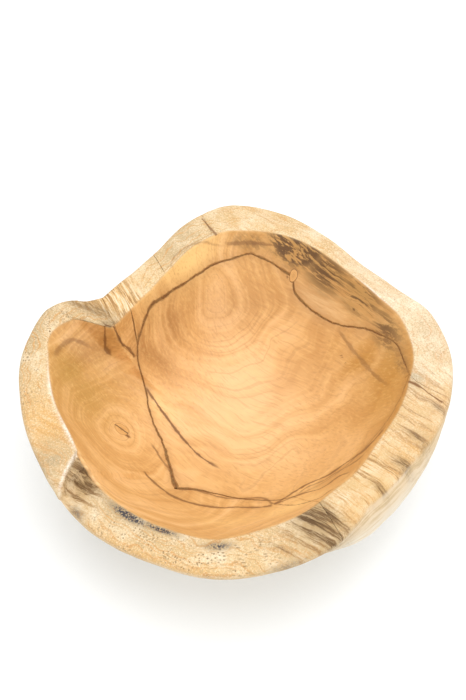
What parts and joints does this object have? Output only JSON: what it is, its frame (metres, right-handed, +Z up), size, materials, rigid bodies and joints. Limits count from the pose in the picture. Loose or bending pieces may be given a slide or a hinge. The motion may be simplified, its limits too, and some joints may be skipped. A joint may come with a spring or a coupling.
{
  "type": "carved wooden bowl",
  "caption": "Free-form wooden bowl carved from a root ball, with a broad flat rim, a pinched saddle, dark bark seams and a smooth deep hollow.",
  "frame": {"origin": "centre of the flat foot, on the surface that the bowl stands on", "axes": "+Z up out of the hollow, +X to the right and +Y to the back, with the pinched saddle of the rim at the back left"},
  "size_m": [0.3038, 0.3068, 0.1068],
  "materials": {
    "heart_wood": "honey-gold root wood, sanded and oiled to a satin inside, dry and matte on the rim",
    "back_wood": "spalted brown-streaked root wood, satin inside, dry straw-coloured rim",
    "lobe_wood": "golden root wood, satin inside, pale speckled matte rim",
    "wedge_wood": "fibrous striped root wood",
    "patch_wood": "greyish dry block, matte",
    "seam_filling": "dark crumbly bark and resin",
    "knot_wood": "dense brown knot"
  },
  "bodies": {
    "root": {"root_heart": "heart_wood", "root_back_wall": "back_wood", "root_front_lobe": "lobe_wood", "saddle_wedge": "wedge_wood", "rim_patch": "patch_wood", "seam_fill_left": "seam_filling", "seam_fill_front": "seam_filling", "seam_fill_back": "seam_filling", "seam_fill_right": "seam_filling", "knot_back": "knot_wood", "knot_left": "knot_wood"}
  },
  "joints": []
}
